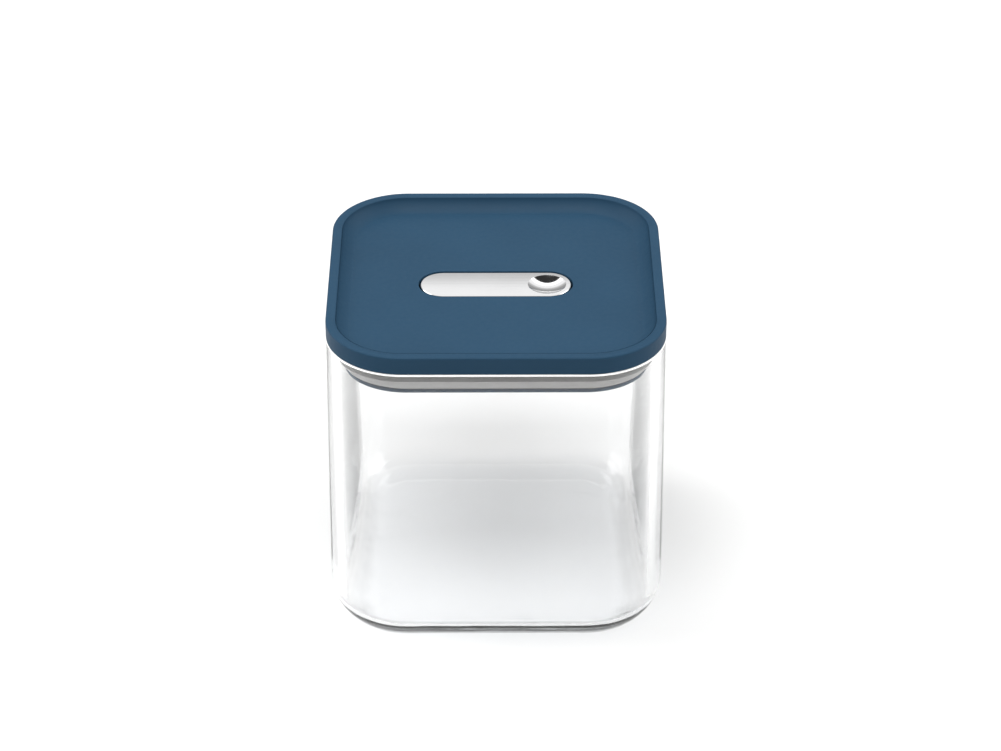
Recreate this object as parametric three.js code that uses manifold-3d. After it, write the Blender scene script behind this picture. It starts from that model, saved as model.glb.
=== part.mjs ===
// Lidded glass canister: a square glass jar with round corners, and a press lid. A steel lever lies flush in
// the lid's stacking tray. Pressing its dimple rocks it about a pin carried by a vertical stem. The lever's
// heels then rise off a wear plate, a spring pushes the stem and the compression plate down, and the silicone
// gasket between plate and lid relaxes. With the lever flat, the gasket is squeezed out against the glass.
//
// Millimetres. +Z up, the lever along X with its dimple at +X, the front at -Y, the origin in the middle of
// the base.
import * as THREE from "three";
import { mergeVertices } from "three/addons/utils/BufferGeometryUtils.js";
import Module from "manifold-3d";

const wasm = await Module();
wasm.setup();

// Driving dimensions
const overallHeight = 134.4;
const lidHalf = 65;
const lidCorner = 30;
const lidSide = 7;
const rimWidth = 4;
const trayDepth = 5.3;
const coveRadius = 3.5;
const wall = 1.5;
const gap = 0.3;

const jarFlare = 0.9;
const glassWall = 3.8;
const glassBase = 8;
const baseRound = 18;
const floorRound = 5.5;

const leverHalfLength = 29.5;
const leverHalfWidth = 9.2;
const leverLine = 0.4;
const dimpleX = 20;
const dimpleRadius = 7.5;
const dimpleDepth = 1.8;
const tiltLimit = THREE.MathUtils.degToRad(20);
const stemTravel = 2;

const pinRadius = 1.5;
const pinClearance = 0.15;
const stemRadius = 3.5;
const sealSection = 0.9;
const glandDepth = 2.4;
const screwShank = 1.4;
const screwHead = 2.7;
const screwAt = 38;
const stemScrewShank = 1.6;

const leverSkin = 1;
const leverEdge = 0.8;
const leverSkirt = 2.7;
const cheekInner = 3.5;
const cheekOuter = 6.4;

// How far a cutting tool runs past the face it opens, so that the two never share a face.
const past = 1;

// Heights worked out from them
const skirtBottom = overallHeight - lidSide;
const trayFloor = overallHeight - trayDepth;
const jarTop = skirtBottom - gap;
const leverTop = trayFloor - 0.2;
const leverBottom = leverTop - leverSkirt;
const pinZ = leverTop - 4.9;
const gasketTop = skirtBottom - gap;
const gasketHeight = 9.4;
const gasketBottom = gasketTop - gasketHeight;
const plateTop = gasketBottom - gap;
const plateThickness = 1.5;
const coreBottom = plateTop + 0.7;
const coreFloor = coreBottom + 2.6;
const wellFloor = pinZ - 10.4;
const wellBottom = wellFloor - wall;
const wearThickness = 0.8;
const wearTop = wellFloor + gap + wearThickness;
const troughFloor = wellBottom - 1.8;
const springRoom = 4.2;
const hubFloor = troughFloor - springRoom;
const hubThickness = 1.8;
const hubBottom = hubFloor - hubThickness;

// Widths worked out from them
const cavityHalf = lidHalf - glassWall;
const gasketHalf = cavityHalf - gap;
const coreHalf = gasketHalf - 4.3;
const plateHalf = gasketHalf - 2.6;
const wellHalfLength = leverHalfLength + 1.3;
const wellHalfWidth = leverHalfWidth + 1.25;

const looks = {
  glass: { color: 0xe9f0ee, roughness: 0.04, metalness: 0, transparent: true, opacity: 0.35 },
  navy: { color: 0x3f5c74, roughness: 0.42, metalness: 0 },
  dark: { color: 0x15191d, roughness: 0.5, metalness: 0 },
  steel: { color: 0xd9dadb, roughness: 0.16, metalness: 1 },
  zinc: { color: 0xa9adb0, roughness: 0.35, metalness: 1 },
  silicone: { color: 0xa3a8aa, roughness: 0.6, metalness: 0 },
  rubber: { color: 0x26282a, roughness: 0.7, metalness: 0 },
};

const canister = new THREE.Group();

// The places of the four screws that hold the core to the shell.
const corners = {
  back_right: [screwAt, screwAt],
  back_left: [-screwAt, screwAt],
  front_left: [-screwAt, -screwAt],
  front_right: [screwAt, -screwAt],
};

// ---- outlines ----

function roundedSquare(half, corner) {
  const shape = new THREE.Shape();
  const c = half - corner;
  shape.absarc(c, -c, corner, -Math.PI / 2, 0);
  shape.absarc(c, c, corner, 0, Math.PI / 2);
  shape.absarc(-c, c, corner, Math.PI / 2, Math.PI);
  shape.absarc(-c, -c, corner, Math.PI, 1.5 * Math.PI);
  return shape;
}

// A rounded square at the same distance inside the lid's outline all round.
function lidOutline(half) {
  return roundedSquare(half, lidCorner - (lidHalf - half));
}

function pill(halfLength, halfWidth) {
  const shape = new THREE.Shape();
  const c = halfLength - halfWidth;
  shape.absarc(c, 0, halfWidth, -Math.PI / 2, Math.PI / 2);
  shape.absarc(-c, 0, halfWidth, Math.PI / 2, 1.5 * Math.PI);
  return shape;
}

function grownPill(by) {
  return pill(wellHalfLength + by, wellHalfWidth + by);
}

function polygon(points) {
  return new THREE.Shape(points.map(([x, y]) => new THREE.Vector2(x, y)));
}

// ---- solids ----

function prism(shape, bottom, top, curveSegments = 7) {
  const options = { depth: top - bottom, bevelEnabled: false, curveSegments };
  return new THREE.ExtrudeGeometry(shape, options).translate(0, 0, bottom);
}

// A prism whose two end edges are rounded, at the full outline between them.
function roundedPrism(shape, bottom, top, radius, bevelSegments, curveSegments = 7) {
  const geometry = new THREE.ExtrudeGeometry(shape, {
    depth: top - bottom - 2 * radius,
    bevelThickness: radius,
    bevelSize: radius,
    bevelOffset: -radius,
    bevelSegments,
    curveSegments,
  });
  return geometry.translate(0, 0, bottom + radius);
}

// A slab whose outline lies in the XZ plane, between two places along Y.
function slab(shape, yFrom, yTo) {
  const geometry = new THREE.ExtrudeGeometry(shape, { depth: yTo - yFrom, bevelEnabled: false });
  return geometry.rotateX(Math.PI / 2).translate(0, yTo, 0);
}

function rod(radius, bottom, top, segments = 18) {
  const geometry = new THREE.CylinderGeometry(radius, radius, top - bottom, segments);
  return geometry.rotateX(Math.PI / 2).translate(0, 0, (bottom + top) / 2);
}

function block(x0, x1, y0, y1, z0, z1) {
  const geometry = new THREE.BoxGeometry(x1 - x0, y1 - y0, z1 - z0);
  return geometry.translate((x0 + x1) / 2, (y0 + y1) / 2, (z0 + z1) / 2);
}

// Everything above a height, wider than the part.
function above(height) {
  const far = 2 * lidHalf;
  return block(-far, far, -far, far, height, height + far);
}

// Widens a solid steadily by the given amount between two heights.
function flare(geometry, half, by, zWide, zNarrow) {
  const at = geometry.attributes.position;
  for (let i = 0; i < at.count; i++) {
    const share = THREE.MathUtils.clamp((zNarrow - at.getZ(i)) / (zNarrow - zWide), 0, 1);
    const scale = 1 + (by * share) / half;
    at.setXY(i, at.getX(i) * scale, at.getY(i) * scale);
  }
  return geometry;
}

function solid(geometry) {
  const bare = geometry.clone();
  bare.deleteAttribute("normal");
  bare.deleteAttribute("uv");
  const merged = mergeVertices(bare, 1e-4);
  const vertProperties = merged.attributes.position.array;
  const triVerts = new Uint32Array(merged.index.array);
  return new wasm.Manifold(new wasm.Mesh({ numProp: 3, vertProperties, triVerts }));
}

function join(first, ...others) {
  return others.reduce((sum, next) => sum.add(solid(next)), solid(first));
}

function cut(body, ...tools) {
  return tools.reduce((rest, tool) => rest.subtract(solid(tool)), body);
}

function geometryOf(body) {
  const { vertProperties, triVerts } = body.getMesh();
  const geometry = new THREE.BufferGeometry();
  geometry.setAttribute("position", new THREE.BufferAttribute(vertProperties, 3));
  geometry.setIndex(new THREE.BufferAttribute(triVerts, 1));
  geometry.computeVertexNormals();
  return geometry;
}

function piece(name, shape, look) {
  const geometry = shape.isBufferGeometry ? shape : geometryOf(shape);
  const mesh = new THREE.Mesh(geometry, new THREE.MeshStandardMaterial(looks[look]));
  mesh.name = name;
  return mesh;
}

// ---- jar ----

// Thick pressed glass: straight sides that widen a little to the base, and a deep round where they meet it.
function glassJar() {
  const outer = roundedPrism(lidOutline(lidHalf), 0, jarTop + baseRound, baseRound, 5);
  const cavity = roundedPrism(lidOutline(cavityHalf), glassBase, jarTop + 2 * floorRound, floorRound, 4);
  flare(outer, lidHalf, jarFlare, baseRound, jarTop);
  flare(cavity, cavityHalf, -jarFlare, glassBase + floorRound, jarTop);
  return piece("glass_jar", cut(solid(outer), cavity, above(jarTop)), "glass");
}

// ---- lid ----

// The visible navy cover: a stacking tray inside a flat rim, with a pill-shaped opening for the lever, a
// collar round the opening that holds the well, and four screw bosses, all underneath.
function lidShell() {
  const edgeRound = 0.6;
  const collarDrop = 3.3;
  const bossRadius = 3.4;
  const skin = 1.2;
  const rooted = skirtBottom + 0.5;
  const body = roundedPrism(lidOutline(lidHalf), skirtBottom, overallHeight, edgeRound, 1);
  const trayTop = overallHeight + 2 * coveRadius;
  const tray = roundedPrism(lidOutline(lidHalf - rimWidth), trayFloor, trayTop, coveRadius, 3);
  const collar = prism(grownPill(wall + gap + wall), skirtBottom - collarDrop, rooted);
  const collarHole = prism(grownPill(wall + gap), skirtBottom - collarDrop - past, skirtBottom);
  const mouth = pill(leverHalfLength + leverLine, leverHalfWidth + leverLine);
  const opening = prism(mouth, skirtBottom - past, overallHeight);
  const places = Object.values(corners);
  const bosses = places.map(([x, y]) => rod(bossRadius, coreFloor + gap, rooted, 12).translate(x, y, 0));
  const holes = places.map(([x, y]) =>
    rod(screwShank + gap, coreFloor, trayFloor - skin, 10).translate(x, y, 0),
  );
  const whole = join(body, collar, ...bosses);
  return piece("lid_shell", cut(whole, tray, collarHole, opening, ...holes), "navy");
}

// The dish under the shell: its wall backs the gasket, and its floor carries the lever's well.
function lidCore() {
  const coreWall = 2;
  const edgeRound = 0.6;
  const seatDepth = 1.6;
  const dish = roundedPrism(lidOutline(coreHalf), coreBottom, gasketTop + lidSide, edgeRound, 1);
  const inside = prism(lidOutline(coreHalf - coreWall), coreFloor, gasketTop + lidSide);
  const opening = prism(grownPill(wall + 0.7), coreBottom - past, coreFloor + past);
  const holes = Object.values(corners).flatMap(([x, y]) => [
    rod(screwShank + gap, coreBottom - past, coreFloor + past, 10).translate(x, y, 0),
    rod(screwHead + gap, coreBottom - past, coreBottom + seatDepth, 12).translate(x, y, 0),
  ]);
  return piece("lid_core", cut(solid(dish), inside, above(gasketTop), opening, ...holes), "dark");
}

// A cross-head screw pointing up, with the lowest point of its head at the given height.
function screw(name, x, y, headBottom, headRadius, headHeight, shank, tip) {
  const profile = [
    [0, headBottom],
    [headRadius * 0.82, headBottom],
    [headRadius, headBottom + headHeight * 0.4],
    [headRadius, headBottom + headHeight],
    [shank, headBottom + headHeight],
    [shank, tip - shank],
    [shank * 0.35, tip],
    [0, tip],
  ];
  const body = turned(profile, 10);
  const slot = headRadius * 0.58;
  const arm = headRadius * 0.16;
  const deep = headBottom + headHeight * 0.6;
  const across = block(-slot, slot, -arm, arm, headBottom - past, deep);
  const along = block(-arm, arm, -slot, slot, headBottom - past, deep);
  return piece(name, geometryOf(cut(solid(body), across, along)).translate(x, y, 0), "zinc");
}

// A solid of revolution about Z from points of radius and height.
function turned(profile, segments) {
  const points = profile.map(([radius, z]) => new THREE.Vector2(radius, z));
  return new THREE.LatheGeometry(points, segments).rotateX(Math.PI / 2);
}

function coreScrews() {
  const headHeight = 1.3;
  const tip = coreFloor + 5;
  return Object.entries(corners).map(([corner, [x, y]]) =>
    screw("core_screw_" + corner, x, y, coreBottom, screwHead, headHeight, screwShank, tip),
  );
}

// The cup that the lever rocks in. A gland in its floor holds the stem's seal.
function leverWell() {
  const flangeBottom = coreFloor + 1.6;
  const flangeReach = 5.5;
  const bossRadius = 7;
  const bossBottom = wellBottom - 2;
  const cup = prism(grownPill(wall), wellBottom, skirtBottom - gap);
  const flange = prism(grownPill(flangeReach), flangeBottom, flangeBottom + wall);
  const boss = rod(bossRadius, bossBottom, wellBottom + wall / 3);
  const inside = prism(grownPill(0), wellFloor, skirtBottom);
  const gland = rod(stemRadius + 2 * (gap + sealSection), wellFloor - glandDepth, wellFloor + past);
  const bore = rod(stemRadius + gap, bossBottom - past, wellFloor + past);
  return piece("lever_well", cut(join(cup, flange, boss), inside, gland, bore), "dark");
}

// The flat gasket between the well's flange and the core.
function wellSeal() {
  const reach = 5;
  const edgeRound = 0.3;
  const top = coreFloor + 1.3;
  const ring = roundedPrism(grownPill(reach), coreFloor + gap, top, edgeRound, 1);
  const hole = prism(grownPill(wall + 0.9), coreFloor, top + past);
  return piece("well_seal", cut(solid(ring), hole), "silicone");
}

// The silicone band that closes the jar: it swells from a thin lower edge to its full width near the top.
function gasket() {
  const swell = 6.5;
  const lean = 3.2;
  const band = new THREE.ExtrudeGeometry(lidOutline(gasketHalf), {
    depth: gasketHeight,
    bevelThickness: swell,
    bevelSize: lean,
    bevelOffset: -lean,
    bevelSegments: 4,
    curveSegments: 7,
  });
  const ring = band.translate(0, 0, gasketBottom + swell);
  const hole = prism(lidOutline(coreHalf + gap), gasketBottom - past, gasketTop + past);
  return piece("gasket", cut(solid(ring), above(gasketTop), hole), "silicone");
}

// A steel plate under the lever's heels, which also keeps the stem's seal in its gland.
function wearPlate() {
  const halfLength = 13;
  const halfWidth = 8.5;
  const plate = block(-halfLength, halfLength, -halfWidth, halfWidth, wellFloor + gap, wearTop);
  const hole = rod(stemRadius + gap, wellFloor, wearTop + past);
  return piece("wear_plate", cut(solid(plate), hole), "zinc");
}

// A leaf spring at the well's left end, whose lip holds the lever's catch down.
function catchClip() {
  const foot = wellFloor + gap;
  const thickness = 0.5;
  const lipZ = pinZ - 1.2;
  const halfWidth = 4;
  const leaf = polygon([
    [-19, foot],
    [-19, foot + thickness],
    [-27.1, foot + thickness],
    [-27.1, lipZ - 0.4],
    [-26.5, lipZ],
    [-27.1, lipZ + 0.4],
    [-27.3, lipZ + 1.6],
    [-27.7, lipZ + 1.6],
    [-27.7, foot],
  ]);
  return piece("catch_clip", slab(leaf, -halfWidth, halfWidth), "steel");
}

// ---- lever ----

// A drawn steel cap: flat top, short turned-down edge, and a thumb dimple at its right end.
function leverPlate() {
  const outer = prism(pill(leverHalfLength, leverHalfWidth), leverBottom, leverTop, 10);
  const inside = pill(leverHalfLength - leverEdge, leverHalfWidth - leverEdge);
  const shell = cut(solid(outer), prism(inside, leverBottom - past, leverTop - leverSkin, 10));
  const curve = (dimpleRadius ** 2 + dimpleDepth ** 2) / (2 * dimpleDepth);
  const centre = leverTop + curve - dimpleDepth;
  const bowl = solid(ball(curve, dimpleX, centre));
  const back = solid(ball(curve + leverSkin, dimpleX, centre));
  const plug = rod(dimpleRadius + leverSkin, leverBottom - past, leverTop - leverSkin / 5, 32);
  const pressed = solid(plug.translate(dimpleX, 0, 0)).intersect(back);
  return piece("lever_plate", shell.add(pressed).subtract(bowl), "steel");
}

function ball(radius, x, z) {
  return new THREE.SphereGeometry(radius, 32, 40).rotateX(Math.PI / 2).translate(x, 0, z);
}

// The moulded frame inside the cap: two cheeks for the pin, each with a heel, and a catch at the left. The
// frame ends where the dimple starts.
function leverCarrier() {
  const top = leverTop - leverSkin - gap;
  const inset = leverEdge + gap;
  const web = prism(pill(leverHalfLength - inset, leverHalfWidth - inset), leverBottom, top);
  const heelX = -(stemTravel + (pinZ - wearTop) * (1 - Math.cos(tiltLimit))) / Math.sin(tiltLimit);
  const cheekRound = 3.4;
  const cheek = new THREE.Shape();
  cheek.moveTo(-6.5, top);
  cheek.lineTo(heelX - 2, wearTop + gap);
  cheek.lineTo(heelX, wearTop + gap);
  cheek.lineTo(-2.6, pinZ - 2.2);
  cheek.absarc(0, pinZ, cheekRound, Math.PI + 0.7, 2 * Math.PI);
  cheek.lineTo(5, top);
  const nearCheek = slab(cheek, -cheekOuter, -cheekInner);
  const farCheek = slab(cheek, cheekInner, cheekOuter);
  const catchHalf = 3;
  const noseZ = pinZ - 2.5;
  const catchTab = polygon([
    [-24.2, top],
    [-25.5, top],
    [-25.5, noseZ + 0.6],
    [-26.1, noseZ + 0.2],
    [-26.1, noseZ - 0.2],
    [-25.5, noseZ - 0.6],
    [-24.2, noseZ - 0.6],
  ]);
  const windowHalf = 4.2;
  const window = block(-windowHalf, windowHalf, -cheekInner, cheekInner, leverBottom - past, top + past);
  const hollow = rod(dimpleRadius + 2 * gap, leverBottom - past, top + past, 20);
  const beyond = above(leverBottom - past).translate(dimpleX + 2 * lidHalf, 0, 0);
  const whole = join(web, nearCheek, farCheek, slab(catchTab, -catchHalf, catchHalf));
  const opened = cut(whole, window, hollow.translate(dimpleX, 0, 0), beyond, pinHole());
  return piece("lever_carrier", opened, "dark");
}

function pinHole() {
  return alongPin(rod(pinRadius + pinClearance, -cheekOuter - past, cheekOuter + past));
}

// Lays a solid made along Z on the pin's axis.
function alongPin(geometry) {
  return geometry.rotateX(Math.PI / 2).translate(0, 0, pinZ);
}

function hingePin() {
  const half = cheekOuter + 0.2;
  const chamfer = 0.3;
  const profile = [
    [0, -half],
    [pinRadius - chamfer, -half],
    [pinRadius, chamfer - half],
    [pinRadius, half - chamfer],
    [pinRadius - chamfer, half],
    [0, half],
  ];
  return piece("hinge_pin", alongPin(turned(profile, 24)), "steel");
}

// ---- stem and compression plate ----

// A round rod with a flat eye at the top for the pin, drilled from below for its screw. The eye's lower
// corners stay just clear of the wear plate when the stem is all the way down.
function stem() {
  const eyeHalf = cheekInner - gap;
  const shaftTop = wearTop + stemTravel + gap + past;
  const eye = new THREE.Shape();
  eye.moveTo(-eyeHalf, shaftTop - past);
  eye.lineTo(eyeHalf, shaftTop - past);
  eye.lineTo(eyeHalf, pinZ);
  eye.absarc(0, pinZ, eyeHalf, 0, Math.PI);
  const shaft = rod(stemRadius, hubFloor + gap, shaftTop);
  const drilled = rod(stemScrewShank + gap, hubFloor - past, hubFloor + 10, 12);
  return piece("stem", cut(join(shaft, slab(eye, -eyeHalf, eyeHalf)), pinHole(), drilled), "zinc");
}

function stemSeal() {
  const middle = stemRadius + gap + sealSection;
  const ring = new THREE.TorusGeometry(middle, sealSection, 6, 20);
  return piece("stem_seal", ring.translate(0, 0, wellFloor - glandDepth / 2), "rubber");
}

class Helix extends THREE.Curve {
  constructor(radius, turns, bottom, top) {
    super();
    Object.assign(this, { radius, turns, bottom, top });
  }
  getPoint(t, target = new THREE.Vector3()) {
    const angle = 2 * Math.PI * this.turns * t;
    const z = THREE.MathUtils.lerp(this.bottom, this.top, t);
    return target.set(this.radius * Math.cos(angle), this.radius * Math.sin(angle), z);
  }
}

function returnSpring() {
  const wire = 0.55;
  const coilRadius = 9.2;
  const turns = 3;
  const coil = new Helix(coilRadius, turns, hubFloor + gap + wire, wellBottom - gap - wire);
  const round = new THREE.Shape().absarc(0, 0, wire, 0, 2 * Math.PI);
  const options = { steps: 48, extrudePath: coil, bevelEnabled: false, curveSegments: 3 };
  return piece("return_spring", new THREE.ExtrudeGeometry(round, options), "steel");
}

// The navy plate under the gasket, with a trough round the well and a hub that takes the spring and the stem.
function compressionPlate() {
  const edgeRound = 0.5;
  const pocketRadius = 11;
  const hubRing = 9.4;
  const ringDepth = 4;
  const ringWall = 1.7;
  const panel = roundedPrism(lidOutline(plateHalf), plateTop - plateThickness, plateTop, edgeRound, 1);
  const trough = prism(grownPill(3 + 1.6), troughFloor - 1.6, plateTop);
  const hub = rod(pocketRadius + hubThickness, hubBottom, troughFloor, 24);
  const ring = rod(hubRing, hubBottom - ringDepth, hubBottom + hubThickness / 2, 20);
  const whole = join(panel, trough, hub, ring);
  const inside = prism(grownPill(3), troughFloor, plateTop + past);
  const pocket = rod(pocketRadius, hubFloor, troughFloor + past, 24);
  const ringHole = rod(hubRing - ringWall, hubBottom - ringDepth - past, hubBottom, 20);
  const screwHole = rod(stemScrewShank + 0.5, hubBottom - past, hubFloor + past, 12);
  return piece("compression_plate", cut(whole, inside, pocket, ringHole, screwHole), "navy");
}

function stemWasher() {
  const top = hubBottom - gap;
  const thickness = 0.7;
  const disc = rod(5.2, top - thickness, top);
  const hole = rod(2.2, top - thickness - past, top + past, 14);
  return piece("stem_washer", cut(solid(disc), hole), "zinc");
}

function stemScrew() {
  const headRadius = 3.4;
  const headHeight = 1.5;
  const headBottom = hubBottom - 2 * gap - 0.7 - headHeight;
  return screw("stem_screw", 0, 0, headBottom, headRadius, headHeight, stemScrewShank, hubFloor + 8.5);
}

// The snap-in cap that hides the stem's screw: a disc with a spigot above it.
function hubCap() {
  const low = hubBottom - 5.4;
  const rim = 9.2;
  const spigot = 7.3;
  const chamfer = 0.6;
  const profile = [
    [0, low],
    [rim - 0.8, low],
    [rim, low + chamfer],
    [rim, low + 1.1],
    [spigot, low + 1.1],
    [spigot, low + 2.3],
    [0, low + 2.3],
  ];
  return piece("hub_cap", turned(profile, 20), "navy");
}

const lid = new THREE.Group();
lid.add(lidShell(), lidCore(), leverWell(), wellSeal(), gasket(), wearPlate(), catchClip(), stemSeal());
lid.add(returnSpring(), ...coreScrews());
const drive = new THREE.Group();
drive.add(stem(), compressionPlate(), stemWasher(), stemScrew(), hubCap());
const lever = new THREE.Group();
lever.add(leverPlate(), leverCarrier(), hingePin());
canister.add(glassJar(), lid, drive, lever);

export default canister;
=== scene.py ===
import math

import bpy
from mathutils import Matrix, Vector


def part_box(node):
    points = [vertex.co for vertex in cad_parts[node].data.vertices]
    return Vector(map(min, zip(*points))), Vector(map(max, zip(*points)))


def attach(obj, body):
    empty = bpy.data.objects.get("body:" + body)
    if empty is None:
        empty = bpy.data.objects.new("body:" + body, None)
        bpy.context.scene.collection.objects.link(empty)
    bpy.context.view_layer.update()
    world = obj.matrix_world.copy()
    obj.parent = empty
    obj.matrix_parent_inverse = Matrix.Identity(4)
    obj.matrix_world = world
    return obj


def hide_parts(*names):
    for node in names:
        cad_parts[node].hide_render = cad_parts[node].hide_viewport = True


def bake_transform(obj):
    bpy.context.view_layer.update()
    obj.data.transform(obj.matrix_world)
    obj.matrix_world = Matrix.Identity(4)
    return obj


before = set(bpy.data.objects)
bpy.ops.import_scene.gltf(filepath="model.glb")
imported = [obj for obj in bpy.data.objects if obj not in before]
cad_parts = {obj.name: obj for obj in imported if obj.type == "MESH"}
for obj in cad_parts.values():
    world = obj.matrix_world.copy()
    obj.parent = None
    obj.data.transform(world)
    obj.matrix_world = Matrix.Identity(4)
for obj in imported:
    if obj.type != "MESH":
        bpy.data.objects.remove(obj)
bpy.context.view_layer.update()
mm = 0.001
print("frame loaded")


# edit-mode helpers

def workOn(piece):
    if bpy.context.object and bpy.context.object.mode != "OBJECT":
        bpy.ops.object.mode_set(mode="OBJECT")
    bpy.ops.object.select_all(action="DESELECT")
    piece.select_set(True)
    bpy.context.view_layer.objects.active = piece


def newPiece(name):
    piece = bpy.context.object
    piece.name = name
    piece.data.name = name
    bpy.ops.object.transform_apply(location=True, rotation=True, scale=True)
    return piece


def pickFaces(piece, test):
    # leaves the piece in edit mode with only the faces whose centre and normal pass the test
    workOn(piece)
    bpy.ops.object.mode_set(mode="EDIT")
    bpy.ops.mesh.select_mode(type="FACE")
    bpy.ops.mesh.select_all(action="DESELECT")
    bpy.ops.object.mode_set(mode="OBJECT")
    for face in piece.data.polygons:
        face.select = bool(test(face.center, face.normal))
    bpy.ops.object.mode_set(mode="EDIT")


def pickEdges(piece, test):
    # the same for edges, tested by their two ends
    workOn(piece)
    bpy.ops.object.mode_set(mode="EDIT")
    bpy.ops.mesh.select_mode(type="EDGE")
    bpy.ops.mesh.select_all(action="DESELECT")
    bpy.ops.object.mode_set(mode="OBJECT")
    points = piece.data.vertices
    for edge in piece.data.edges:
        a, b = edge.vertices
        edge.select = bool(test(points[a].co, points[b].co))
    bpy.ops.object.mode_set(mode="EDIT")


def bevelPicked(width, segments=4, profile=0.5):
    bpy.ops.mesh.bevel(offset=width, segments=segments, profile=profile,
                       affect="EDGES", clamp_overlap=False)
    bpy.ops.object.mode_set(mode="OBJECT")


def near(a, b, reach=1e-5):
    return abs(a - b) < reach


def level(z):
    # a test for edges that lie at one height
    return lambda a, b: near(a.z, z) and near(b.z, z)


def facesUp(at, normal):
    return normal.z > 0.9


def facesDown(at, normal):
    return normal.z < -0.9


def middleTop(half):
    # a test for the face that looks up in the middle of a piece
    return lambda at, normal: facesUp(at, normal) and max(abs(at.x), abs(at.y)) < half / 2


def topAt(z):
    # a test for the face that looks up at one height
    return lambda at, normal: near(at.z, z) and facesUp(at, normal)


def block(name, halfX, halfY, low, high):
    bpy.ops.object.select_all(action="DESELECT")
    middle = (0, 0, (low + high) / 2)
    size = (2 * halfX, 2 * halfY, high - low)
    bpy.ops.mesh.primitive_cube_add(size=1, location=middle, scale=size)
    return newPiece(name)


def roundedBlock(name, halfX, halfY, corner, low, high, segments=24):
    piece = block(name, halfX, halfY, low, high)
    pickEdges(piece, lambda a, b: near(a.x, b.x) and near(a.y, b.y))
    bevelPicked(corner, segments)
    bpy.ops.object.mode_set(mode="EDIT")
    bpy.ops.mesh.select_all(action="SELECT")
    bpy.ops.mesh.remove_doubles(threshold=5e-6)
    bpy.ops.object.mode_set(mode="OBJECT")
    return piece


def rod(name, radius, low, high, x=0.0, y=0.0, vertices=48):
    bpy.ops.object.select_all(action="DESELECT")
    place = (x, y, (low + high) / 2)
    bpy.ops.mesh.primitive_cylinder_add(vertices=vertices, radius=radius, depth=high - low,
                                        location=place)
    return newPiece(name)


def modified(piece, kind, **values):
    workOn(piece)
    bpy.ops.object.modifier_add(type=kind)
    modifier = piece.modifiers[-1]
    for key, value in values.items():
        setattr(modifier, key, value)
    bpy.ops.object.modifier_apply(modifier=modifier.name)


def combine(piece, tool, how):
    modified(piece, "BOOLEAN", operation=how, object=tool, solver="EXACT")
    bpy.data.objects.remove(tool)


def cutAway(piece, *tools):
    for tool in tools:
        combine(piece, tool, "DIFFERENCE")


def addOn(piece, *tools):
    for tool in tools:
        combine(piece, tool, "UNION")


def smoothed(piece, angle):
    workOn(piece)
    bpy.ops.object.shade_smooth_by_angle(angle=math.radians(angle), keep_sharp_edges=True)
    modified(piece, "WEIGHTED_NORMAL", keep_sharp=True, weight=60)


def finishPiece(piece, body, slot, material, *nodes, angle=35):
    smoothed(piece, angle)
    piece.data.materials.clear()
    piece.data.materials.append(material)
    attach(piece, body)
    if nodes:
        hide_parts(*nodes)


# materials

def nodeMaterial(name):
    material = bpy.data.materials.new(name)
    material.use_nodes = True
    nodes = material.node_tree.nodes
    shader = next(n for n in nodes if n.type == "BSDF_PRINCIPLED")
    return material, nodes, material.node_tree.links, shader


def objectNoise(nodes, links, scale, detail=3.0, stretch=(1, 1, 1)):
    coordinates = nodes.new("ShaderNodeTexCoord")
    mapping = nodes.new("ShaderNodeMapping")
    mapping.inputs["Scale"].default_value = stretch
    noise = nodes.new("ShaderNodeTexNoise")
    noise.inputs["Scale"].default_value = scale
    noise.inputs["Detail"].default_value = detail
    links.new(coordinates.outputs["Object"], mapping.inputs["Vector"])
    links.new(mapping.outputs["Vector"], noise.inputs["Vector"])
    return noise.outputs["Fac"]


def spread(nodes, links, value, low, high):
    # a noise value stretched to a range
    remap = nodes.new("ShaderNodeMapRange")
    remap.inputs["From Min"].default_value = 0.3
    remap.inputs["From Max"].default_value = 0.7
    remap.inputs["To Min"].default_value = low
    remap.inputs["To Max"].default_value = high
    links.new(value, remap.inputs["Value"])
    return remap.outputs["Result"]


def tinted(nodes, links, value, first, second):
    mix = nodes.new("ShaderNodeMix")
    mix.data_type = "RGBA"
    mix.inputs["A"].default_value = (*first, 1)
    mix.inputs["B"].default_value = (*second, 1)
    links.new(value, mix.inputs["Factor"])
    return mix.outputs["Result"]


def bumped(nodes, links, value, distance, strength=1.0):
    bump = nodes.new("ShaderNodeBump")
    bump.inputs["Strength"].default_value = strength
    bump.inputs["Distance"].default_value = distance
    links.new(value, bump.inputs["Height"])
    return bump.outputs["Normal"]


def product(nodes, links, a, b):
    node = nodes.new("ShaderNodeMath")
    node.operation = "MULTIPLY"
    links.new(a, node.inputs[0])
    links.new(b, node.inputs[1])
    return node.outputs["Value"]


def mouldedPlastic(name, look):
    material, nodes, links, shader = nodeMaterial(name)
    cloud = spread(nodes, links, objectNoise(nodes, links, look["cloudScale"]), 0, 1)
    grain = objectNoise(nodes, links, look["grainScale"], 2)
    links.new(tinted(nodes, links, cloud, look["dark"], look["light"]), shader.inputs["Base Color"])
    gloss = spread(nodes, links, objectNoise(nodes, links, look["grainScale"] / 5), *look["roughness"])
    links.new(gloss, shader.inputs["Roughness"])
    links.new(bumped(nodes, links, grain, look["grainDepth"], 0.6), shader.inputs["Normal"])
    shader.inputs["Specular IOR Level"].default_value = look["specular"]
    return material


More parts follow.
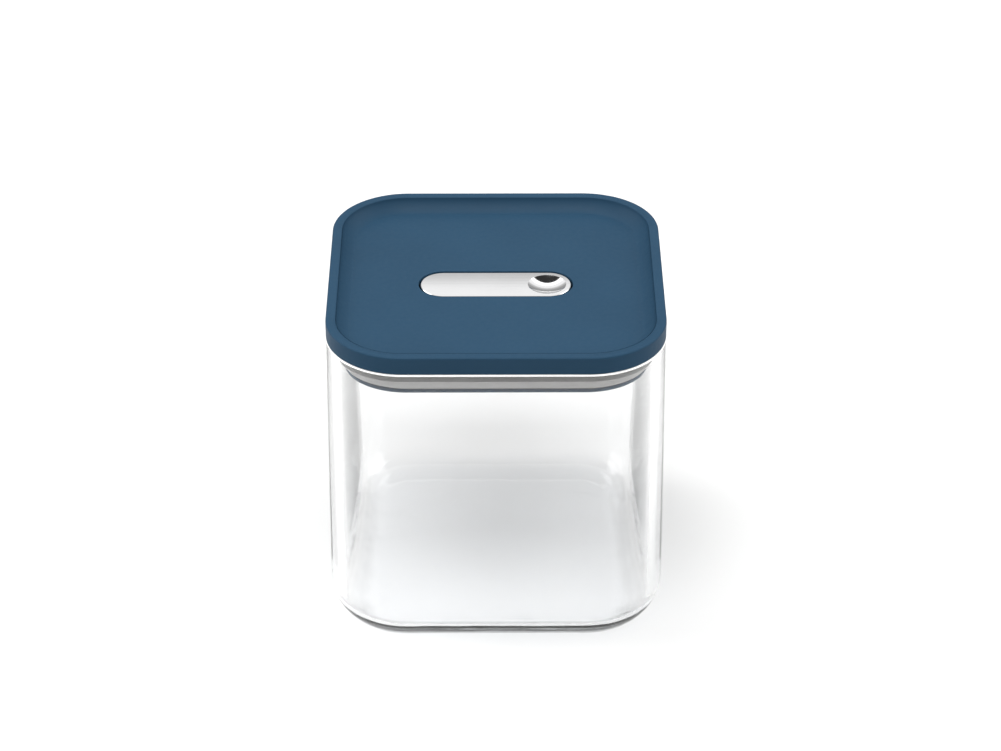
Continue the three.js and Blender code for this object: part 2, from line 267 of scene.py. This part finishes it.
navySatin = mouldedPlastic("navySatin", {
    "dark": (0.0142, 0.0438, 0.080),
    "light": (0.0156, 0.0478, 0.087),
    "cloudScale": 28,
    "grainScale": 2600,
    "grainDepth": 0.006 * mm,
    "roughness": (0.46, 0.54),
    "specular": 0.09,
})
darkMoulding = mouldedPlastic("darkMoulding", {
    "dark": (0.008, 0.01, 0.013),
    "light": (0.012, 0.014, 0.018),
    "cloudScale": 60,
    "grainScale": 1800,
    "grainDepth": 0.01 * mm,
    "roughness": (0.42, 0.56),
    "specular": 0.35,
})
greySilicone = mouldedPlastic("greySilicone", {
    "dark": (0.345, 0.34, 0.335),
    "light": (0.38, 0.375, 0.37),
    "cloudScale": 40,
    "grainScale": 900,
    "grainDepth": 0.01 * mm,
    "roughness": (0.38, 0.5),
    "specular": 0.45,
})
blackRubber = mouldedPlastic("blackRubber", {
    "dark": (0.012, 0.012, 0.013),
    "light": (0.02, 0.02, 0.021),
    "cloudScale": 90,
    "grainScale": 1500,
    "grainDepth": 0.012 * mm,
    "roughness": (0.55, 0.7),
    "specular": 0.4,
})


def metal(name, look):
    material, nodes, links, shader = nodeMaterial(name)
    streaks = objectNoise(nodes, links, look["streakScale"], 3, look["stretch"])
    cloud = spread(nodes, links, objectNoise(nodes, links, look["cloudScale"]), 0, 1)
    links.new(tinted(nodes, links, cloud, look["dark"], look["light"]), shader.inputs["Base Color"])
    links.new(spread(nodes, links, streaks, *look["roughness"]), shader.inputs["Roughness"])
    links.new(bumped(nodes, links, streaks, look["streakDepth"], 0.5), shader.inputs["Normal"])
    shader.inputs["Metallic"].default_value = 1
    return material


polishedSteel = metal("polishedSteel", {
    "dark": (0.80, 0.80, 0.805),
    "light": (0.84, 0.84, 0.845),
    "cloudScale": 50,
    "streakScale": 900,
    "stretch": (0.3, 1, 1),
    "streakDepth": 0.0001 * mm,
    "roughness": (0.06, 0.1),
})
zincSteel = metal("zincSteel", {
    "dark": (0.46, 0.47, 0.49),
    "light": (0.58, 0.585, 0.6),
    "cloudScale": 350,
    "streakScale": 2200,
    "stretch": (1, 1, 1),
    "streakDepth": 0.006 * mm,
    "roughness": (0.26, 0.4),
})
springSteel = metal("springSteel", {
    "dark": (0.55, 0.55, 0.555),
    "light": (0.66, 0.66, 0.665),
    "cloudScale": 250,
    "streakScale": 2600,
    "stretch": (1, 1, 0.1),
    "streakDepth": 0.003 * mm,
    "roughness": (0.16, 0.28),
})

glassLook = {
    "color": (0.998, 0.999, 1.0),
    "ior": 1.5,
    "roughness": 0.04,
    "shade": (0.98, 0.982, 0.985),
    "rippleScale": 62,
    "rippleStretch": (0.8, 1.3, 1),
    "rippleDepth": 0.3 * mm,
    "rippleFade": (9 * mm, 14 * mm),
    "absorb": (0.5, 0.53, 0.56),
    "density": 6.0,
}


def clearGlass():
    material, nodes, links, shader = nodeMaterial("clearGlass")
    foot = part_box("glass_jar")[0].z
    ripplesEnd, wallsStart = glassLook["rippleFade"]
    coordinates = nodes.new("ShaderNodeTexCoord")
    parts = nodes.new("ShaderNodeSeparateXYZ")
    links.new(coordinates.outputs["Object"], parts.inputs["Vector"])
    onFloor = nodes.new("ShaderNodeMapRange")  # 1 on the base, fading out up the walls
    onFloor.inputs["From Min"].default_value = foot + wallsStart
    onFloor.inputs["From Max"].default_value = foot + ripplesEnd
    links.new(parts.outputs["Z"], onFloor.inputs["Value"])
    wave = objectNoise(nodes, links, glassLook["rippleScale"], 1.5, glassLook["rippleStretch"])
    height = product(nodes, links, wave, onFloor.outputs["Result"])
    rippled = bumped(nodes, links, height, glassLook["rippleDepth"])
    links.new(rippled, shader.inputs["Normal"])
    shader.inputs["Base Color"].default_value = (*glassLook["color"], 1)
    shader.inputs["IOR"].default_value = glassLook["ior"]
    shader.inputs["Roughness"].default_value = glassLook["roughness"]
    shader.inputs["Transmission Weight"].default_value = 1
    clear = nodes.new("ShaderNodeBsdfTransparent")  # lets the lamps through, as thin clear glass does
    clear.inputs["Color"].default_value = (*glassLook["shade"], 1)
    path = nodes.new("ShaderNodeLightPath")
    either = nodes.new("ShaderNodeMath")
    either.operation = "MAXIMUM"
    links.new(path.outputs["Is Shadow Ray"], either.inputs[0])
    links.new(path.outputs["Is Diffuse Ray"], either.inputs[1])
    mix = nodes.new("ShaderNodeMixShader")
    links.new(either.outputs["Value"], mix.inputs["Fac"])
    links.new(shader.outputs["BSDF"], mix.inputs[1])
    links.new(clear.outputs["BSDF"], mix.inputs[2])
    output = next(n for n in nodes if n.type == "OUTPUT_MATERIAL")
    links.new(mix.outputs["Shader"], output.inputs["Surface"])
    body = nodes.new("ShaderNodeVolumeAbsorption")  # greys the long paths along the walls
    body.inputs["Color"].default_value = (*glassLook["absorb"], 1)
    body.inputs["Density"].default_value = glassLook["density"]
    links.new(body.outputs["Volume"], output.inputs["Volume"])
    return material


jarGlass = clearGlass()
# painted light: the rim is an opaque pale material, whose pale colour paints the bright line of light
# that the glass edge shows
paintedRimLight = mouldedPlastic("paintedRimLight", {
    "dark": (0.88, 0.88, 0.87),
    "light": (0.93, 0.93, 0.92),
    "cloudScale": 30,
    "grainScale": 700,
    "grainDepth": 0.01 * mm,
    "roughness": (0.2, 0.3),
    "specular": 0.5,
})
# painted glow: the rim's emission makes it shine though it is no lamp
rimPaintedGlow = {
    "color": (1, 0.99, 0.97, 1),
    "strength": 0.1,
}
paintedRimShader = next(n for n in paintedRimLight.node_tree.nodes if n.type == "BSDF_PRINCIPLED")
paintedRimShader.inputs["Emission Color"].default_value = rimPaintedGlow["color"]
paintedRimShader.inputs["Emission Strength"].default_value = rimPaintedGlow["strength"]
print("materials made")


# the jar

jar = {
    "corner": 30 * mm,
    "glassWall": 3.8 * mm,
    "flare": 0.9 * mm,
    "baseRound": 18 * mm,
    "floorRound": 5.5 * mm,
    "glassBase": 8 * mm,
    "rim": 0.8 * mm,
    "rimRound": 0.5 * mm,
    "rimGap": 0.03 * mm,
    "cornerSteps": 32,
    "baseSteps": 14,
    "floorSteps": 12,
}


def sink(piece, test, depth, scale=1.0):
    # pushes the picked faces down and narrows them
    pickFaces(piece, test)
    bpy.ops.mesh.extrude_region_move(TRANSFORM_OT_translate={"value": (0, 0, -depth)})
    bpy.ops.transform.resize(value=(scale, scale, 1), center_override=(0, 0, 0))
    bpy.ops.object.mode_set(mode="OBJECT")


def makeJar():
    low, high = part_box("glass_jar")
    wide = high.x
    half = wide - jar["flare"]
    high.z -= jar["rim"]
    piece = roundedBlock("glassJar", half, half, jar["corner"], low.z, high.z, jar["cornerSteps"])
    pickFaces(piece, facesUp)
    bpy.ops.mesh.inset(thickness=jar["glassWall"], depth=0)
    bpy.ops.object.mode_set(mode="OBJECT")
    cavity = half - jar["glassWall"]
    deep = high.z - low.z - jar["glassBase"]
    narrow = (cavity - jar["flare"]) / cavity
    sink(piece, middleTop(half), deep, narrow)
    pickFaces(piece, facesDown)
    spreadOut = wide / half
    bpy.ops.transform.resize(value=(spreadOut, spreadOut, 1), center_override=(0, 0, low.z))
    bpy.ops.object.mode_set(mode="OBJECT")
    pickEdges(piece, level(low.z))
    bevelPicked(jar["baseRound"], jar["baseSteps"])
    pickEdges(piece, level(low.z + jar["glassBase"]))
    bevelPicked(jar["floorRound"], jar["floorSteps"])
    finishPiece(piece, "jar", "clear_glass", jarGlass, "glass_jar")


def makeRim():
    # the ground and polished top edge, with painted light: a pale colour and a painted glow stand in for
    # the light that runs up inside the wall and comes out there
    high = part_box("glass_jar")[1]
    half = high.x - jar["flare"]
    bottom = high.z - jar["rim"] + jar["rimGap"]
    inner = half - jar["glassWall"]
    innerCorner = jar["corner"] - jar["glassWall"]
    steps = jar["cornerSteps"]
    piece = roundedBlock("glassRim", half, half, jar["corner"], bottom, high.z, steps)
    cutAway(piece, roundedBlock("mouth", inner, inner, innerCorner, bottom - mm, high.z + mm, steps))
    pickEdges(piece, level(high.z))
    bevelPicked(jar["rimRound"], 4)
    finishPiece(piece, "jar", "clear_glass", paintedRimLight)


makeJar()
makeRim()
print("jar made")


# the lid cover

lid = {
    "corner": 30 * mm,
    "rim": 4 * mm,
    "tray": 5.3 * mm,
    "cove": 5.1 * mm,
    "edgeRound": 0.7 * mm,
    "lowerRound": 0.4 * mm,
    "mouthRound": 0.25 * mm,
    "line": 0.65 * mm,
    "collar": 3.3 * mm,
    "collarWall": 1.5 * mm,
    "collarInset": 3.7 * mm,
    "overlap": 0.4 * mm,
    "skin": 1.2 * mm,
    "skirt": 7.2 * mm,
    "boss": 3.4 * mm,
    "bossHole": 1.7 * mm,
    "cornerSteps": 32,
    "coveSteps": 12,
    "coveShape": 0.36,
}


def pillBlock(name, halfLength, halfWidth, low, high, segments=32):
    # a bevel as wide as the half width turns each end into half a circle
    return roundedBlock(name, halfLength, halfWidth, halfWidth * 0.99995, low, high, segments)


def makeLidShell():
    low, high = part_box("lid_shell")
    half = high.x
    bottom = high.z - lid["skirt"]
    floor = high.z - lid["tray"]
    piece = roundedBlock("lidShell", half, half, lid["corner"], bottom, high.z, lid["cornerSteps"])
    pickFaces(piece, facesUp)
    bpy.ops.mesh.inset(thickness=lid["rim"], depth=0)
    bpy.ops.object.mode_set(mode="OBJECT")
    sink(piece, middleTop(half), lid["tray"])
    pickEdges(piece, level(floor))
    bevelPicked(lid["cove"], lid["coveSteps"], lid["coveShape"])
    pickEdges(piece, level(high.z))
    bevelPicked(lid["edgeRound"], 5)
    pickEdges(piece, level(bottom))
    bevelPicked(lid["lowerRound"], 3)
    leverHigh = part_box("lever_plate")[1]
    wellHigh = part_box("lever_well")[1]
    gapX = leverHigh.x + lid["line"]
    gapY = leverHigh.y + lid["line"]
    rooted = bottom + lid["overlap"]
    collarX = wellHigh.x - lid["collarInset"]
    collarY = wellHigh.y - lid["collarInset"]
    wall = lid["collarWall"]
    collar = pillBlock("collar", collarX + wall, collarY + wall, bottom - lid["collar"], rooted)
    cutAway(collar, pillBlock("hole", collarX, collarY, bottom - lid["collar"] - mm, bottom))
    addOn(piece, collar)
    for screw in ("back_right", "back_left", "front_left", "front_right"):
        a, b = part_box("core_screw_" + screw)
        x, y = (a.x + b.x) / 2, (a.y + b.y) / 2
        addOn(piece, rod("boss", lid["boss"], low.z, rooted, x, y, 32))
        cutAway(piece, rod("hole", lid["bossHole"], low.z - mm, floor - lid["skin"], x, y, 24))
    cutAway(piece, pillBlock("opening", gapX, gapY, low.z - mm, high.z))
    onFloor = level(floor)
    pickEdges(piece, lambda a, b: onFloor(a, b) and abs(a.x) < gapX + mm and abs(a.y) < gapY + mm)
    bevelPicked(lid["mouthRound"], 3)
    finishPiece(piece, "lid", "navy_plastic", navySatin, "lid_shell")


makeLidShell()
print("lid cover made")


# the lever's steel cap

lever = {
    "skin": 1.0 * mm,
    "edge": 0.8 * mm,
    "round": 0.55 * mm,
    "crown": 260 * mm,
    "crownLength": 200 * mm,
    "trim": 0.02 * mm,
    "dimpleX": 20 * mm,
    "dimple": 7.5 * mm,
    "deep": 1.8 * mm,
    "crownSteps": 720,
    "dimpleSteps": (160, 128),
}


def ball(name, radius, x, z):
    bpy.ops.object.select_all(action="DESELECT")
    around, up = lever["dimpleSteps"]
    place = (x, 0, z)
    bpy.ops.mesh.primitive_uv_sphere_add(segments=around, ring_count=up, radius=radius, location=place)
    return newPiece(name)


def makeLeverPlate():
    low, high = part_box("lever_plate")
    top = high.z + lever["trim"]  # the crown takes this off again
    piece = pillBlock("leverPlate", high.x, high.y, low.z, top, 40)
    pickEdges(piece, level(top))
    bevelPicked(lever["round"], 6)
    bpy.ops.object.select_all(action="DESELECT")
    roll = lever["crown"]
    bpy.ops.mesh.primitive_cylinder_add(vertices=lever["crownSteps"], radius=roll,
                                        depth=lever["crownLength"], location=(0, 0, high.z - roll),
                                        rotation=(0, math.pi / 2, 0))
    combine(piece, newPiece("crown"), "INTERSECT")
    curve = (lever["dimple"] ** 2 + lever["deep"] ** 2) / (2 * lever["deep"])
    centre = high.z + curve - lever["deep"]
    cutAway(piece, ball("bowl", curve, lever["dimpleX"], centre))
    insideX = high.x - lever["edge"]
    insideY = high.y - lever["edge"]
    inside = pillBlock("inside", insideX, insideY, low.z - mm, high.z - lever["skin"])
    cutAway(inside, ball("back", curve + lever["skin"], lever["dimpleX"], centre))
    cutAway(piece, inside)
    finishPiece(piece, "lever", "polished_steel", polishedSteel, "lever_plate", angle=20)


makeLeverPlate()
print("lever cap made")


# the silicone band and the plate under it

band = {
    "corner": 24 * mm,
    "start": 57,  # half width in mm of the lower edge
    # half widths and heights in mm up the outside: a taper, a lip near the glass, a groove and a top edge
    "rise": [(57.9, 117.65), (58.6, 118.2), (59.6, 120.2), (60.3, 121.7), (60.4, 122.2), (58.9, 122.6),
             (57.6, 123.1), (57.6, 124.7), (59.6, 125.2), (60.3, 126.4), (60.3, 127.0)],
    "hole": 56.9 * mm,
    "holeCorner": 21.9 * mm,
    "cornerSteps": 28,
}


def makeGasket():
    low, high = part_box("gasket")
    before = band["start"]
    reached = band["rise"][0][1]
    wide = before * mm
    steps = band["cornerSteps"]
    piece = roundedBlock("gasketRing", wide, wide, band["corner"], low.z, reached * mm, steps)
    for half, height in band["rise"]:
        sink(piece, topAt(reached * mm), (reached - height) * mm, half / before)
        before = half
        reached = height
    hole = band["hole"]
    cutAway(piece, roundedBlock("hole", hole, hole, band["holeCorner"], low.z - mm, high.z + mm, steps))
    finishPiece(piece, "lid", "grey_silicone", greySilicone, "gasket")


plate = {
    "corner": 24.5 * mm,
    "thickness": 1.5 * mm,
    "edge": 0.6 * mm,
    "wall": 1.6 * mm,
    "troughDrop": 7.1 * mm,
    "troughInset": 2.5 * mm,
    "troughSunk": 0.3 * mm,
    "soft": 0.7 * mm,
    "overlap": 0.5 * mm,
    "hub": 12.8 * mm,
    "pocket": 11 * mm,
    "ring": 9.4 * mm,
    "ringHole": 7.7 * mm,
    "ringDepth": 4 * mm,
    "ringRound": 0.4 * mm,
    "hubFloor": 1.8 * mm,
    "screwHole": 2.1 * mm,
    "cornerSteps": 28,
    "roundSteps": 64,
}


def makeCompressionPlate():
    low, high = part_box("compression_plate")
    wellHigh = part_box("lever_well")[1]
    under = high.z - plate["thickness"]
    troughX = wellHigh.x - plate["troughInset"]
    troughY = wellHigh.y - plate["troughInset"]
    troughFloor = high.z - plate["troughDrop"]
    hubBottom = low.z + plate["ringDepth"]
    steps = plate["cornerSteps"]
    piece = roundedBlock("compressionPlate", high.x, high.y, plate["corner"], under, high.z, steps)
    pickEdges(piece, lambda a, b: near(a.z, b.z))
    bevelPicked(plate["edge"], 4)
    wall = plate["wall"]
    bottom = troughFloor - wall
    trough = pillBlock("trough", troughX + wall, troughY + wall, bottom, high.z - plate["troughSunk"])
    pickEdges(trough, level(bottom))
    bevelPicked(plate["soft"], 4)
    around = plate["roundSteps"]
    hub = rod("hub", plate["hub"], hubBottom, troughFloor, vertices=around)
    pickEdges(hub, level(hubBottom))
    bevelPicked(plate["soft"], 4)
    ring = rod("ring", plate["ring"], low.z, hubBottom + plate["overlap"], vertices=around)
    pickEdges(ring, level(low.z))
    bevelPicked(plate["ringRound"], 3)
    addOn(piece, trough, hub, ring)
    cutAway(piece, pillBlock("inside", troughX, troughY, troughFloor, high.z + mm))
    pocketFloor = hubBottom + plate["hubFloor"]
    cutAway(piece, rod("pocket", plate["pocket"], pocketFloor, troughFloor + mm, vertices=around))
    cutAway(piece, rod("ringHole", plate["ringHole"], low.z - mm, hubBottom, vertices=around))
    cutAway(piece, rod("screwHole", plate["screwHole"], hubBottom - mm, troughFloor, vertices=32))
    finishPiece(piece, "drive", "navy_plastic", navySatin, "compression_plate")


makeGasket()
makeCompressionPlate()
print("band and plate made")


# the return spring, held by the lid at its top and by the plate's hub at its bottom

spring = {
    "wire": 0.55 * mm,
    "coil": 9.18 * mm,
    "turns": 3,
    "wireSteps": 12,
    "turnSteps": 48,
}


def makeSpring():
    low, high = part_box("return_spring")
    rise = high.z - low.z - 2 * spring["wire"]
    bpy.ops.object.select_all(action="DESELECT")
    bpy.ops.mesh.primitive_circle_add(vertices=spring["wireSteps"], radius=spring["wire"],
                                      location=(spring["coil"], 0, low.z + spring["wire"]),
                                      rotation=(math.pi / 2, 0, 0))
    piece = newPiece("returnSpring")
    turns = spring["turns"]
    modified(piece, "SCREW", screw_offset=rise / turns, iterations=turns, steps=spring["turnSteps"])
    workOn(piece)
    bpy.ops.object.mode_set(mode="EDIT")
    bpy.ops.mesh.select_all(action="SELECT")
    bpy.ops.mesh.fill_holes(sides=0)
    bpy.ops.mesh.select_all(action="SELECT")
    bpy.ops.mesh.normals_make_consistent(inside=False)
    bpy.ops.object.mode_set(mode="OBJECT")
    smoothed(piece, 40)
    piece.data.materials.clear()
    piece.data.materials.append(springSteel)
    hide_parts("return_spring")
    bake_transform(piece)


makeSpring()
print("spring made")


# CAD pieces that keep their shape

kept = {
    "lid_core": darkMoulding,
    "lever_well": darkMoulding,
    "well_seal": greySilicone,
    "wear_plate": zincSteel,
    "catch_clip": springSteel,
    "stem_seal": blackRubber,
    "core_screw_back_right": zincSteel,
    "core_screw_back_left": zincSteel,
    "core_screw_front_left": zincSteel,
    "core_screw_front_right": zincSteel,
    "stem": zincSteel,
    "stem_washer": zincSteel,
    "stem_screw": zincSteel,
    "hub_cap": navySatin,
    "lever_carrier": darkMoulding,
    "hinge_pin": zincSteel,
}
for name, material in kept.items():
    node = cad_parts[name]
    node.data.materials.clear()
    node.data.materials.append(material)
print("CAD pieces finished")


# floor, light and camera

studio = {
    "floorSize": 12,
    "floorDrop": 0.05 * mm,
    "floor": (0.66, 0.66, 0.656),
    "floorRoughness": 0.9,
    "sky": 2.4,
    # brightness up the sky and from the front to the back
    "heights": [(0.0, 0.14), (0.3, 0.16), (0.44, 0.27), (0.53, 0.44), (0.64, 0.45), (0.735, 1.0),
                (0.765, 1.0), (0.82, 0.015)],
    "depths": [(0.0, 0.3), (0.35, 0.35), (0.58, 1.0)],
}


def makeFloor():
    bpy.ops.object.select_all(action="DESELECT")
    place = (0, 0, -studio["floorDrop"])
    bpy.ops.mesh.primitive_plane_add(size=studio["floorSize"], location=place)
    floor = newPiece("floor")
    material, _, _, shader = nodeMaterial("paleFloor")
    shader.inputs["Base Color"].default_value = (*studio["floor"], 1)
    shader.inputs["Roughness"].default_value = studio["floorRoughness"]
    shader.inputs["Specular IOR Level"].default_value = 0
    floor.data.materials.append(material)


def ramp(nodes, links, value, stops):
    # a smooth curve of brightness through stops of (place, value)
    node = nodes.new("ShaderNodeValToRGB")
    node.color_ramp.interpolation = "EASE"
    elements = node.color_ramp.elements
    while len(elements) > 1:
        elements.remove(elements[-1])
    elements[0].position = stops[0][0]
    elements[0].color = (*[stops[0][1]] * 3, 1)
    for place, amount in stops[1:]:
        elements.new(place).color = (amount, amount, amount, 1)
    links.new(value, node.inputs["Fac"])
    return node.outputs["Color"]


def makeSky():
    world = bpy.data.worlds.new("studio")
    bpy.context.scene.world = world
    world.use_nodes = True
    nodes, links = world.node_tree.nodes, world.node_tree.links
    background = next(n for n in nodes if n.type == "BACKGROUND")
    background.inputs["Color"].default_value = (1, 1, 1, 1)
    coordinates = nodes.new("ShaderNodeTexCoord")
    parts = nodes.new("ShaderNodeSeparateXYZ")
    links.new(coordinates.outputs["Generated"], parts.inputs["Vector"])
    height = ramp(nodes, links, parts.outputs["Z"], studio["heights"])
    sideways = nodes.new("ShaderNodeMapRange")
    sideways.inputs["From Min"].default_value = -1
    sideways.inputs["From Max"].default_value = 1
    links.new(parts.outputs["Y"], sideways.inputs["Value"])
    depth = ramp(nodes, links, sideways.outputs["Result"], studio["depths"])
    strength = product(nodes, links, height, depth)
    scale = nodes.new("ShaderNodeMath")
    scale.operation = "MULTIPLY"
    scale.inputs[1].default_value = studio["sky"]
    links.new(strength, scale.inputs[0])
    links.new(scale.outputs["Value"], background.inputs["Strength"])


# a lamp's direction is its azimuth from the back towards the left, and its height, in degrees
lamps = {
    "keyLamp": {"azimuth": 80, "height": 74, "distance": 4, "size": (0.8, 1.8), "radiance": 11},
    "frontLamp": {"azimuth": 180, "height": 68, "distance": 4, "size": (3.2, 1.3), "radiance": 9.6},
    "leftLamp": {"azimuth": 86, "height": 30, "distance": 3, "size": (2.6, 2.2), "radiance": 2.6},
    "rightLamp": {"azimuth": -86, "height": 30, "distance": 3, "size": (2.6, 2.2), "radiance": 2.6},
}


def makeLamp(name, look):
    around, up = math.radians(look["azimuth"]), math.radians(look["height"])
    towards = Vector((-math.sin(around) * math.cos(up), math.cos(around) * math.cos(up), math.sin(up)))
    bpy.ops.object.light_add(type="AREA", location=towards * look["distance"])
    lamp = bpy.context.object
    lamp.name = name
    lamp.rotation_mode = "QUATERNION"
    lamp.rotation_quaternion = towards.to_track_quat("Z", "Y")
    wide, deep = look["size"]
    lamp.data.shape = "RECTANGLE"
    lamp.data.size = wide
    lamp.data.size_y = deep
    lamp.data.energy = look["radiance"] * math.pi * wide * deep


camera = {
    "azimuth": -0.2,
    "elevation": 31.55,
    "distance": 1281.6 * mm,
    "target": (1.83 * mm, 0, 87.0 * mm),
    "lens": 115.95,
    "reach": 30,
}


def makeCamera():
    a, e = math.radians(camera["azimuth"]), math.radians(camera["elevation"])
    back = Vector((math.sin(a) * math.cos(e), -math.cos(a) * math.cos(e), math.sin(e)))
    bpy.ops.object.camera_add(location=Vector(camera["target"]) + back * camera["distance"])
    eye = bpy.context.object
    eye.rotation_mode = "QUATERNION"
    eye.rotation_quaternion = back.to_track_quat("Z", "Y")
    eye.data.lens = camera["lens"]
    eye.data.clip_end = camera["reach"]
    bpy.context.scene.camera = eye


makeFloor()
makeSky()
for name, look in lamps.items():
    makeLamp(name, look)
makeCamera()
bpy.context.scene.view_settings.view_transform = "Standard"
bpy.context.view_layer.update()
print("scene done")
